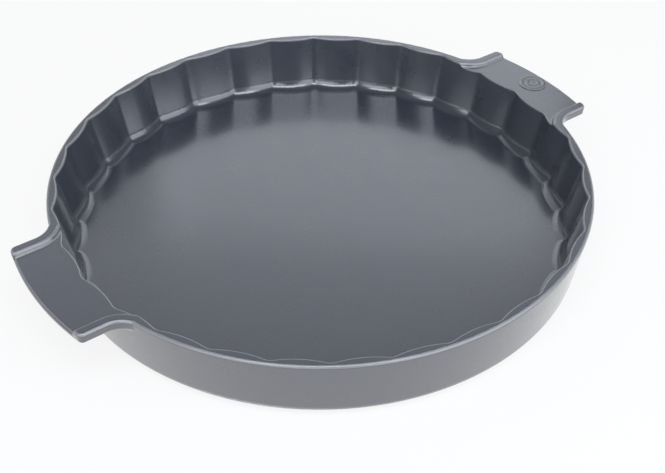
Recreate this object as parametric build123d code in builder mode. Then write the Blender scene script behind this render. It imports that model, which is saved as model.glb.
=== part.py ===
from build123d import *
import math
import os

# Round fluted pie dish of glazed stoneware with two lug handles. Millimetres and degrees.
# The origin is the centre of the circle the foot ring stands on, +Z is up, and the handles lie along X.
# Parts of clay that were luted together and fired share their faces, so their joints have no clearance.

# Overall sizes
rim_diameter = 300.0
height = 38.5
inside_depth = 32.5
foot_height = 1.2

# Wall: smooth outside, fluted inside, and leaning outwards on both sides
outer_draft = 8.0
inner_draft = 12.5
rim_land = 3.0
base_round = 6.0

# Rounds along both edges of the rim, as shares of its narrowest land
rim_round_share = 0.55
lip_round_share = 0.33

# Flutes: each lobe bulges inwards between two grooves
flute_count = 32
lobe_depth = 2.7
groove_round = 7.0
floor_fillet = 6.5

# Lug handles: a plate set low between two ribs that run on from the rim
handle_reach = 22.0
handle_width = 80.0
handle_thickness = 6.5
handle_sweep = 12.0
handle_corner = 3.5
handle_edge_land = 0.5
handle_cove_share = 1.9
rib_width = 5.8
rib_crest_margin = 0.3
plate_drop = 2.5
plate_draft = 30.0
plate_foot_share = 0.75
flare_turn = 46.0

# Seat of a handle: its root is let into the outside of the wall, past the ends of its sweeps and cove
seat_depth = 1.6
seat_margin = 2.5

# Base slab, stepped where the wall stands on it, and the bare foot ring over that seam
slab_seam_margin = 2.0
slab_step_height = 2.4
foot_inset = 1.0
foot_width = 7.0
foot_round = 0.4

# Medallion: a plain ringed button set in a socket in the right handle's plate
medallion_diameter = 17.0
medallion_rise = 0.7
medallion_let_in = 0.5
ring_height = 0.4
ring_count = 2
medallion_inset = 10.5

# Cutting tools run this far past what they cut, and edges are picked by place to within a closeness
overrun = 5.0
closeness = 0.02

# Values worked out from the sizes above
rim_r = rim_diameter / 2
handle_r = rim_r + handle_reach
outer_lean = math.tan(math.radians(outer_draft))
inner_lean = math.tan(math.radians(inner_draft))
flute_angle = 360 / flute_count
rim_round = rim_land * rim_round_share
lip_round = rim_land * lip_round_share
rib_crest_round = rim_round + rib_crest_margin
plate_foot_round = plate_drop * plate_foot_share
handle_edge_round = handle_thickness - plate_drop - rim_round - handle_edge_land
floor_z = height - inside_depth
plate_z = height - plate_drop
under_z = height - handle_thickness
handle_cove = handle_edge_round * handle_cove_share
root_z = under_z - handle_cove * (1 - math.sin(math.radians(outer_draft)))
seat_z = root_z - seat_margin
sweep_y = handle_width / 2 + handle_sweep
sweep_x = math.sqrt((rim_r + handle_sweep) ** 2 - sweep_y**2)
seat_angle = math.degrees(math.atan2(sweep_y, sweep_x) + seat_margin / rim_r)
medallion_r = medallion_diameter / 2
medallion_place = handle_r - medallion_inset
ring_pitch = medallion_r / (ring_count + 1 / 2)
crest_z = plate_z + medallion_rise
valley_z = crest_z - ring_height


def wall_r(z):
    """Outside radius of the wall at a height."""
    return rim_r - (height - z) * outer_lean


def groove_r(z):
    """Radius of the groove lines at a height."""
    return rim_r - rim_land - (height - z) * inner_lean


def polar(radius, angle):
    """Point at a radius and an angle in degrees."""
    turn = math.radians(angle)
    return radius * math.cos(turn), radius * math.sin(turn)


def fluted_outline(z):
    """Inside outline of the wall at a height: a ring of shallow arcs with rounded grooves between them."""
    groove = groove_r(z)
    lobe = groove - lobe_depth
    with BuildSketch(Plane.XY.offset(z)) as outline:
        with BuildLine():
            for k in range(flute_count):
                start = k * flute_angle
                ThreePointArc(
                    polar(groove, start),
                    polar(lobe, start + flute_angle / 2),
                    polar(groove, start + flute_angle),
                )
        make_face()
        fillet(outline.vertices(), groove_round)
    return outline.sketch


# Seams: the slab's disc ends on the flat of the floor, and its step ends over the middle of the foot ring
slab_r = groove_r(floor_z) - lobe_depth - floor_fillet - slab_seam_margin
foot_r = wall_r(foot_height) - base_round - foot_inset
step_r = foot_r - foot_width / 2


def flared_outline(side_y, sweep_r):
    """Plan of a handle, or of the space between its ribs: straight sides that flare and meet the wall."""
    with BuildSketch(Plane.XY.offset(height)) as outline:
        with BuildLine():
            side = Line((handle_r + overrun, -side_y), (sweep_x, -side_y))
            flare = CenterArc((sweep_x, -sweep_y), sweep_r, 90, flare_turn)
            run_in = Line(flare @ 1, flare @ 1 + (flare % 1) * handle_width / 2)
            mirror(about=Plane.XZ)
            Line(run_in @ 1, ((run_in @ 1).X, -(run_in @ 1).Y))
            Line(side @ 0, (handle_r + overrun, side_y))
        make_face()
    return outline.sketch


def brim_edges(faces):
    """Edges no lower than the handles' plates, of those faces that reach below the plates."""
    sides = faces.filter_by(lambda f: f.bounding_box().min.Z < plate_z - closeness)
    return sides.edges().filter_by(lambda e: e.bounding_box().min.Z > plate_z - closeness)


def is_root(edge):
    """Whether an edge is where a handle's sides or underside meet the outside of the wall."""
    places = (edge @ 0, edge @ 0.5, edge @ 1)
    on_wall = all(abs(math.hypot(p.X, p.Y) - wall_r(p.Z)) < closeness for p in places)
    return on_wall and under_z - closeness < edge.center().Z < height - closeness


def faces_axis(face):
    """Whether a face looks in towards the axis of the dish."""
    normal = face.normal_at()
    return normal.X * face.center().X + normal.Y * face.center().Y < 0


# The dish is shaped as a whole first, so that its surfaces run on over the joints between its pieces.

# Space inside the dish, with the fillet where the flutes run out on the floor
with BuildPart() as inside:
    loft([fluted_outline(floor_z), fluted_outline(height + overrun)], ruled=True)
    fillet(inside.faces().sort_by(Axis.Z)[0].edges(), floor_fillet)

# Outside of the bowl, before it is hollowed
with BuildPart() as bowl:
    with BuildSketch(Plane.XZ) as bowl_profile:
        with BuildLine():
            Polyline(
                (0, foot_height),
                (wall_r(foot_height), foot_height),
                (rim_r, height),
                (0, height),
                close=True,
            )
        make_face()
        fillet(bowl_profile.vertices().sort_by(Axis.X)[-2], base_round)
    revolve(axis=Axis.Z)

# A handle as a blank with its lower edges rounded, running on into the wall that it is luted to
with BuildPart() as lug:
    with BuildSketch(Plane.XY.offset(height)) as lug_outline:
        add(flared_outline(handle_width / 2, handle_sweep))
        Circle(handle_r, mode=Mode.INTERSECT)
        fillet(lug_outline.vertices().group_by(Axis.X)[-1], handle_corner)
    extrude(amount=-handle_thickness, taper=outer_draft)
    fillet(lug.faces().sort_by(Axis.Z)[0].edges().sort_by(Axis.X)[1:], handle_edge_round)

# Space above a handle's plate, inside its ribs, with slopes that are rounded at top and foot
with BuildPart() as pan:
    add(flared_outline(handle_width / 2 - rib_width, handle_sweep + rib_width))
    extrude(amount=-plate_drop, taper=plate_draft)
    fillet(pan.faces().sort_by(Axis.Z)[0].edges(), plate_foot_round)
    with BuildSketch(Plane.XY.offset(height)):
        with Locations((rim_r, 0)):
            Rectangle(rim_diameter, rim_diameter)
    extrude(amount=overrun)
    mouth = pan.faces().filter_by(Plane.XY).sort_by(Axis.Z)[-2].inner_wires()[0]
    fillet(mouth.edges(), rib_crest_round)

# The whole dish: handles joined and swept in, plates sunk, outer edges rounded, hollowed, lip rounded
with BuildPart() as dish:
    add(bowl.part)
    with PolarLocations(0, 2):
        add(lug.part)
    fillet(dish.edges().filter_by(is_root), handle_cove)
    with PolarLocations(0, 2):
        add(pan.part, mode=Mode.SUBTRACT)
    fillet(brim_edges(dish.faces()), rim_round)
    add(inside.part, mode=Mode.SUBTRACT)
    fillet(brim_edges(dish.faces().filter_by(faces_axis)), lip_round)

# Room that a handle's plate, ribs and root take up, down to the ledge that its root stands on
with BuildPart() as seat:
    with BuildSketch(Plane.XZ.rotated((0, 0, -seat_angle))):
        with BuildLine():
            Polyline(
                (wall_r(seat_z) - seat_depth, seat_z),
                (handle_r + overrun, seat_z),
                (handle_r + overrun, height + overrun),
                (wall_r(height + overrun) - seat_depth, height + overrun),
                close=True,
            )
        make_face()
    revolve(axis=Axis.Z, revolution_arc=2 * seat_angle)

# Base slab: the floor of the dish, with a lower step that carries the wall
with BuildPart() as base_slab:
    with BuildSketch(Plane.XY.offset(foot_height)):
        Circle(step_r)
    extrude(amount=slab_step_height)
    with BuildSketch(Plane.XY.offset(foot_height)):
        Circle(slab_r)
    extrude(amount=floor_z - foot_height)

# Wall: flutes, rim, inside fillet and rounded bottom edge, standing on the slab's step
with BuildPart() as fluted_wall:
    add(dish.part)
    with PolarLocations(0, 2):
        add(seat.part, mode=Mode.SUBTRACT)
    add(base_slab.part, mode=Mode.SUBTRACT)

# Left handle
with BuildPart() as left_handle:
    add(dish.part)
    add(seat.part, rotation=(0, 0, 180), mode=Mode.INTERSECT)

# Right handle, with the socket that its medallion is set in
with BuildPart() as right_handle:
    add(dish.part)
    add(seat.part, mode=Mode.INTERSECT)
    with BuildSketch(Plane.XY.offset(plate_z)):
        with Locations((medallion_place, 0)):
            Circle(medallion_r)
    extrude(amount=-medallion_let_in, mode=Mode.SUBTRACT)

# Foot ring: bare ring that the dish stands on, covering the seam between slab and wall
with BuildPart() as foot_ring:
    with BuildSketch():
        Circle(foot_r)
        Circle(foot_r - foot_width, mode=Mode.SUBTRACT)
    extrude(amount=foot_height)
    fillet(foot_ring.faces().sort_by(Axis.Z)[0].edges(), foot_round)

# Medallion: rounded rings about a middle boss
with BuildPart() as ring_medallion:
    with BuildSketch(Plane.XZ):
        with BuildLine():
            TangentArc(
                (medallion_place, crest_z),
                (medallion_place + ring_pitch / 2, valley_z),
                tangent=(1, 0),
            )
            for k in range(ring_count):
                crest_x = medallion_place + (k + 1) * ring_pitch
                ThreePointArc(
                    (crest_x - ring_pitch / 2, valley_z),
                    (crest_x, crest_z),
                    (crest_x + ring_pitch / 2, valley_z),
                )
            Polyline(
                (medallion_place + medallion_r, valley_z),
                (medallion_place + medallion_r, plate_z - medallion_let_in),
                (medallion_place, plate_z - medallion_let_in),
                (medallion_place, crest_z),
            )
        make_face()
    revolve(axis=Axis((medallion_place, 0, 0), (0, 0, 1)))

os.makedirs("parts", exist_ok=True)
pieces = {
    "base_slab": base_slab,
    "fluted_wall": fluted_wall,
    "left_handle": left_handle,
    "right_handle": right_handle,
    "foot_ring": foot_ring,
    "ring_medallion": ring_medallion,
}
for name, piece in pieces.items():
    piece.part.label = name
    export_step(piece.part, f"parts/{name}.step")
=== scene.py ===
import math

import bmesh
import bpy
from mathutils import Matrix, Vector


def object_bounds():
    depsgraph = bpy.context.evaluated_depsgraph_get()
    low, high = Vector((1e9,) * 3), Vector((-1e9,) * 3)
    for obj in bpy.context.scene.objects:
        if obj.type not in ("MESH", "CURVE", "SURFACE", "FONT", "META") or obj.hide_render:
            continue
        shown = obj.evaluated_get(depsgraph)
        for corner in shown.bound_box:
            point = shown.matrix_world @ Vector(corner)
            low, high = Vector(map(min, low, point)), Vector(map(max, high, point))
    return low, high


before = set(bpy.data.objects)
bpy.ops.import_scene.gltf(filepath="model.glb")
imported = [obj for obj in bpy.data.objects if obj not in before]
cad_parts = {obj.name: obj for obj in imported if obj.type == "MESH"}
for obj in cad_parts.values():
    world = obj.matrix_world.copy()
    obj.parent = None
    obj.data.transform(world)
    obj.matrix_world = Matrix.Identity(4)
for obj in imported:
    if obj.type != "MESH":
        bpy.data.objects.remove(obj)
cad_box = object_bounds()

# Pie dish of glazed stoneware in soft studio light. Metres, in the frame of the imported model.
mm = 0.001
rim_height = float(cad_box[1][2])


def linear(hex_colour):
    """Linear colour of an sRGB hex value."""
    parts = [int(hex_colour[i : i + 2], 16) / 255 for i in (1, 3, 5)]
    return [p / 12.92 if p <= 0.04045 else ((p + 0.055) / 1.055) ** 2.4 for p in parts] + [1.0]


def add_node(tree, kind, inputs=None, **settings):
    """Adds a node; an input takes a value, or the output of another node."""
    node = tree.nodes.new(kind)
    for name, value in settings.items():
        setattr(node, name, value)
    for name, value in (inputs or {}).items():
        if isinstance(value, bpy.types.NodeSocket):
            tree.links.new(value, node.inputs[name])
        else:
            node.inputs[name].default_value = value
    return node


def new_material(name):
    """Empty material with its output node."""
    material = bpy.data.materials.new(name)
    material.use_nodes = True
    material.node_tree.nodes.clear()
    return material, material.node_tree, add_node(material.node_tree, "ShaderNodeOutputMaterial")


# Glazed stoneware: slate-grey satin glaze sprayed on pressed clay and fired. It gives soft clear
# reflections that waver a little, a faint mottle and pin-sized iron specks. It has a paler colour on the
# rounded edges and the lip, which is partly a thin coat where the glaze ran off and partly a painted
# highlight. It is a satin body under a smoother clear skin, and its roughness follows the mottle.
glaze_ior = 1.7
glaze_roughness = (0.26, 0.32)
glaze_mottle = 14 * mm
mottle_levels = (0.3, 0.7)
skin_ior = 1.75
skin_roughness = 0.16
# The skin wavers in long slow waves. The body has a fine orange peel too.
glaze_wave = 22 * mm
wave_depth = 0.05 * mm
glaze_peel = 1.6 * mm
peel_depth = 0.004 * mm
# Real specks are about 0.2 mm; drawn at 0.9 mm so that they show, and faint. Noise between the two levels
# grows into a speck.
glaze_speck = 0.9 * mm
speck_levels = (0.68, 0.78)
speck_strength = 0.2
# Where the glaze is thin it has less of the skin and is drier
thin_skin = 0.5
thin_dryness = 0.06
# Each pair is where the pale colour starts and where it is full. The pale colour is partly a thin coat and
# partly a painted highlight.
# Tilt is the upward part of the surface's normal, 0 on an upright wall and 1 on a flat top. First the rounded
# edges of the rim and handles.
edge_heights = (rim_height - 7.0 * mm, rim_height - 5.5 * mm)
edge_tilts = (0.6, 0.8)
# Then the lip, where the pale colour paints the highlight line along the inner edge, and a little way down
# the flutes. The flutes face up a little, and the outside of the wall faces down.
lip_heights = (rim_height - 1.6 * mm, rim_height - 0.8 * mm)
lip_tilts = (0.1, 0.18)
# Flat tops keep their glaze
flat_tilts = (0.998, 0.96)


def make_glazed_stoneware():
    material, tree, output = new_material("glazed_stoneware")
    place = add_node(tree, "ShaderNodeTexCoord").outputs["Object"]

    mottle = add_node(tree, "ShaderNodeTexNoise", {"Vector": place, "Scale": 1 / glaze_mottle, "Detail": 4.0})
    body_colour = add_node(tree, "ShaderNodeMix", {
        "Factor": mottle.outputs["Fac"],
        "A": linear("#2a2f3a"),
        "B": linear("#353b46"),
    }, data_type="RGBA")
    specks = add_node(tree, "ShaderNodeTexNoise", {"Vector": place, "Scale": 1 / glaze_speck, "Detail": 1.0})
    speck_share = add_node(tree, "ShaderNodeMapRange", {
        "Value": specks.outputs["Fac"],
        "From Min": speck_levels[0],
        "From Max": speck_levels[1],
        "To Max": speck_strength,
    })
    speck_colour = add_node(tree, "ShaderNodeMix", {
        "Factor": speck_share.outputs["Result"],
        "A": body_colour.outputs["Result"],
        "B": linear("#1b1d22"),
    }, data_type="RGBA")

    height = add_node(tree, "ShaderNodeSeparateXYZ", {"Vector": place}).outputs["Z"]
    surface_normal = add_node(tree, "ShaderNodeNewGeometry").outputs["Normal"]
    tilt = add_node(tree, "ShaderNodeSeparateXYZ", {"Vector": surface_normal}).outputs["Z"]
    by_edge, off_walls, by_lip, off_outside, off_flats = [
        add_node(tree, "ShaderNodeMapRange", {
            "Value": value,
            "From Min": start,
            "From Max": full,
        }, interpolation_type="SMOOTHSTEP").outputs["Result"]
        for value, (start, full) in (
            (height, edge_heights),
            (tilt, edge_tilts),
            (height, lip_heights),
            (tilt, lip_tilts),
            (tilt, flat_tilts),
        )
    ]
    edge_coat_and_painted_highlight = add_node(tree, "ShaderNodeMath", {0: off_walls, 1: by_edge}, operation="MULTIPLY")
    lip_coat_and_painted_highlight = add_node(tree, "ShaderNodeMath", {0: off_outside, 1: by_lip}, operation="MULTIPLY")
    either = add_node(tree, "ShaderNodeMath", {
        0: edge_coat_and_painted_highlight.outputs["Value"],
        1: lip_coat_and_painted_highlight.outputs["Value"],
    }, operation="MAXIMUM")
    thin_coat_and_painted_highlight = add_node(tree, "ShaderNodeMath", {0: either.outputs["Value"], 1: off_flats}, operation="MULTIPLY")
    # Pale colour on the rounded edges and the lip: partly a thin glaze coat, partly a painted highlight
    glaze_colour = add_node(tree, "ShaderNodeMix", {
        "Factor": thin_coat_and_painted_highlight.outputs["Value"],
        "A": speck_colour.outputs["Result"],
        "B": linear("#838487"),
    }, data_type="RGBA")

    skin = add_node(tree, "ShaderNodeMapRange", {
        "Value": thin_coat_and_painted_highlight.outputs["Value"],
        "To Min": 1.0,
        "To Max": thin_skin,
    })
    satin = add_node(tree, "ShaderNodeMapRange", {
        "Value": mottle.outputs["Fac"],
        "From Min": mottle_levels[0],
        "From Max": mottle_levels[1],
        "To Min": glaze_roughness[0],
        "To Max": glaze_roughness[1],
    })
    roughness = add_node(tree, "ShaderNodeMath", {
        0: thin_coat_and_painted_highlight.outputs["Value"],
        1: thin_dryness,
        2: satin.outputs["Result"],
    }, operation="MULTIPLY_ADD")

    wave = add_node(tree, "ShaderNodeTexNoise", {"Vector": place, "Scale": 1 / glaze_wave, "Detail": 1.0})
    wave_bump = add_node(tree, "ShaderNodeBump", {
        "Height": wave.outputs["Fac"],
        "Distance": wave_depth,
        "Strength": 1.0,
    })
    peel = add_node(tree, "ShaderNodeTexNoise", {"Vector": place, "Scale": 1 / glaze_peel, "Detail": 1.0})
    peel_bump = add_node(tree, "ShaderNodeBump", {
        "Height": peel.outputs["Fac"],
        "Distance": peel_depth,
        "Strength": 1.0,
        "Normal": wave_bump.outputs["Normal"],
    })

    shader = add_node(tree, "ShaderNodeBsdfPrincipled", {
        "Base Color": glaze_colour.outputs["Result"],
        "IOR": glaze_ior,
        "Roughness": roughness.outputs["Value"],
        "Normal": peel_bump.outputs["Normal"],
        "Coat Weight": skin.outputs["Result"],
        "Coat IOR": skin_ior,
        "Coat Roughness": skin_roughness,
        "Coat Normal": wave_bump.outputs["Normal"],
    })
    tree.links.new(shader.outputs["BSDF"], output.inputs["Surface"])
    return material


# Bare stoneware: the foot, wiped clean of glaze with a wet sponge and fired. Buff, dry and matt, with a soft
# change of tone and dark grit that stands a little proud.
clay_roughness = 0.85
clay_tone = 9 * mm
clay_grit = 0.8 * mm
grit_levels = (0.6, 0.75)
grit_depth = 0.08 * mm


def make_bare_stoneware():
    material, tree, output = new_material("bare_stoneware")
    place = add_node(tree, "ShaderNodeTexCoord").outputs["Object"]
    tone = add_node(tree, "ShaderNodeTexNoise", {"Vector": place, "Scale": 1 / clay_tone, "Detail": 5.0})
    grit = add_node(tree, "ShaderNodeTexNoise", {"Vector": place, "Scale": 1 / clay_grit, "Detail": 2.0})
    clay = add_node(tree, "ShaderNodeMix", {
        "Factor": tone.outputs["Fac"],
        "A": linear("#a3937d"),
        "B": linear("#c2b49f"),
    }, data_type="RGBA")
    grit_share = add_node(tree, "ShaderNodeMapRange", {
        "Value": grit.outputs["Fac"],
        "From Min": grit_levels[0],
        "From Max": grit_levels[1],
    })
    colour = add_node(tree, "ShaderNodeMix", {
        "Factor": grit_share.outputs["Result"],
        "A": clay.outputs["Result"],
        "B": linear("#7d6c57"),
    }, data_type="RGBA")
    bump = add_node(tree, "ShaderNodeBump", {"Height": grit.outputs["Fac"], "Distance": grit_depth})
    shader = add_node(tree, "ShaderNodeBsdfPrincipled", {
        "Base Color": colour.outputs["Result"],
        "Normal": bump.outputs["Normal"],
        "Roughness": clay_roughness,
    })
    tree.links.new(shader.outputs["BSDF"], output.inputs["Surface"])
    return material


glazed_stoneware = make_glazed_stoneware()
bare_stoneware = make_bare_stoneware()
for name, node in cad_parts.items():
    material = bare_stoneware if name == "foot_ring" else glazed_stoneware
    node.data.materials.clear()
    node.data.materials.append(material)

# Camera: a 62 mm lens on a 36 mm sensor, in front of the dish, to its left and above it, as fitted to the
# photograph. The heading is clockwise from +Y, and the pitch is up from level.
sensor_width = 36.0
lens = 62.2003
camera_place = Vector((-0.297322, -0.417723, 0.418816))
camera_heading = math.radians(36.1842)
camera_pitch = math.radians(-39.8360)
camera_roll = math.radians(0.2450)


def make_camera():
    camera_data = bpy.data.cameras.new("camera")
    camera_data.sensor_width = sensor_width
    camera_data.lens = lens
    camera = bpy.data.objects.new("camera", camera_data)
    turn = Matrix.Rotation(-camera_heading, 4, "Z") @ Matrix.Rotation(math.pi / 2 + camera_pitch, 4, "X")
    camera.matrix_world = Matrix.Translation(camera_place) @ turn @ Matrix.Rotation(camera_roll, 4, "Z")
    bpy.context.scene.collection.objects.link(camera)
    bpy.context.scene.camera = camera


# Table: white paper. The camera and the glaze see it lit evenly, with the dish's soft shadow kept. From below
# it is clear, so that the foot shows.
table_half = 3.0
table_gap = 0.1 * mm
table_even_light = 0.85


def make_table():
    mesh = bpy.data.meshes.new("table")
    form = bmesh.new()
    bmesh.ops.create_grid(form, x_segments=1, y_segments=1, size=table_half)
    form.to_mesh(mesh)
    form.free()
    table = bpy.data.objects.new("table", mesh)
    table.location.z = -table_gap
    bpy.context.scene.collection.objects.link(table)

    material, tree, output = new_material("white_paper")
    paper = add_node(tree, "ShaderNodeBsdfDiffuse", {"Color": linear("#f4f4f4")})
    even = add_node(tree, "ShaderNodeEmission", {"Color": linear("#ffffff"), "Strength": 1.0})
    seen = add_node(tree, "ShaderNodeLightPath")
    direct = add_node(tree, "ShaderNodeMath", {
        0: seen.outputs["Is Camera Ray"],
        1: seen.outputs["Is Glossy Ray"],
    }, operation="MAXIMUM")
    either = add_node(tree, "ShaderNodeMath", {
        0: direct.outputs["Value"],
        1: seen.outputs["Is Transmission Ray"],
    }, operation="MAXIMUM")
    share = add_node(tree, "ShaderNodeMath", {
        0: either.outputs["Value"],
        1: table_even_light,
    }, operation="MULTIPLY")
    top = add_node(tree, "ShaderNodeMixShader", {
        0: share.outputs["Value"],
        1: paper.outputs["BSDF"],
        2: even.outputs["Emission"],
    })
    underneath = add_node(tree, "ShaderNodeNewGeometry").outputs["Backfacing"]
    clear = add_node(tree, "ShaderNodeBsdfTransparent")
    sheet = add_node(tree, "ShaderNodeMixShader", {
        0: underneath,
        1: top.outputs["Shader"],
        2: clear.outputs["BSDF"],
    })
    tree.links.new(sheet.outputs["Shader"], output.inputs["Surface"])
    mesh.materials.append(material)


# World: pale studio walls and a dim ceiling. The walls end and the ceiling starts at these upward parts of
# the direction, where 0 is level and 1 is straight up. Between them the brightness falls off.
wall_brightness = 0.85
wall_end = 0.1
ceiling_brightness = 0.18
ceiling_start = 0.32


def make_world():
    world = bpy.data.worlds.new("studio")
    bpy.context.scene.world = world
    world.use_nodes = True
    tree = world.node_tree
    tree.nodes.clear()
    output = add_node(tree, "ShaderNodeOutputWorld")
    direction = add_node(tree, "ShaderNodeTexCoord").outputs["Generated"]
    upward = add_node(tree, "ShaderNodeSeparateXYZ", {"Vector": direction}).outputs["Z"]
    brightness = add_node(tree, "ShaderNodeMapRange", {
        "Value": upward,
        "From Min": wall_end,
        "From Max": ceiling_start,
        "To Min": wall_brightness,
        "To Max": ceiling_brightness,
    }, interpolation_type="SMOOTHSTEP")
    studio = add_node(tree, "ShaderNodeBackground", {
        "Color": linear("#ffffff"),
        "Strength": brightness.outputs["Result"],
    })
    tree.links.new(studio.outputs["Background"], output.inputs["Surface"])


# Softboxes, slightly cool, all turned to the middle of the dish. Direction, clockwise from straight behind
# the dish as the camera sees it, height angle, distance, width, height, and brightness, where 1 is white.
softboxes = {
    "softbox_behind": (3, 31, 1.3, 0.70, 0.42, 1.15),
    "softbox_behind_left": (-26, 31, 1.3, 0.50, 0.42, 0.40),
    "softbox_behind_top": (-4, 47, 1.3, 1.55, 0.34, 0.50),
    "softbox_above": (178, 66, 1.3, 1.10, 0.42, 5.0),
    "softbox_right": (124, 32, 1.2, 1.40, 1.05, 1.9),
    "softbox_left": (208, 36, 1.3, 0.90, 0.70, 2.4),
    "strip_right": (128, 9, 1.1, 1.00, 0.12, 1.5),
    "strip_left": (226, 9, 1.1, 0.90, 0.12, 1.5),
}
softbox_colour = "#f0f5ff"
dish_middle = Vector((0, 0, 20 * mm))


def make_softboxes():
    for name, (direction, height_angle, distance, width, height, brightness) in softboxes.items():
        lamp = bpy.data.lights.new(name, "AREA")
        lamp.shape = "RECTANGLE"
        lamp.size = width
        lamp.size_y = height
        lamp.energy = brightness * math.pi * width * height
        lamp.color = linear(softbox_colour)[:3]
        around = math.pi / 2 - camera_heading - math.radians(direction)
        up = math.radians(height_angle)
        outward = Vector((math.cos(up) * math.cos(around), math.cos(up) * math.sin(around), math.sin(up)))
        box = bpy.data.objects.new(name, lamp)
        box.location = dish_middle + distance * outward
        box.visible_camera = False
        box.rotation_euler = outward.to_track_quat("Z", "Y").to_euler()
        bpy.context.scene.collection.objects.link(box)


make_table()
make_world()
make_softboxes()
make_camera()
bpy.context.scene.view_settings.view_transform = "Standard"
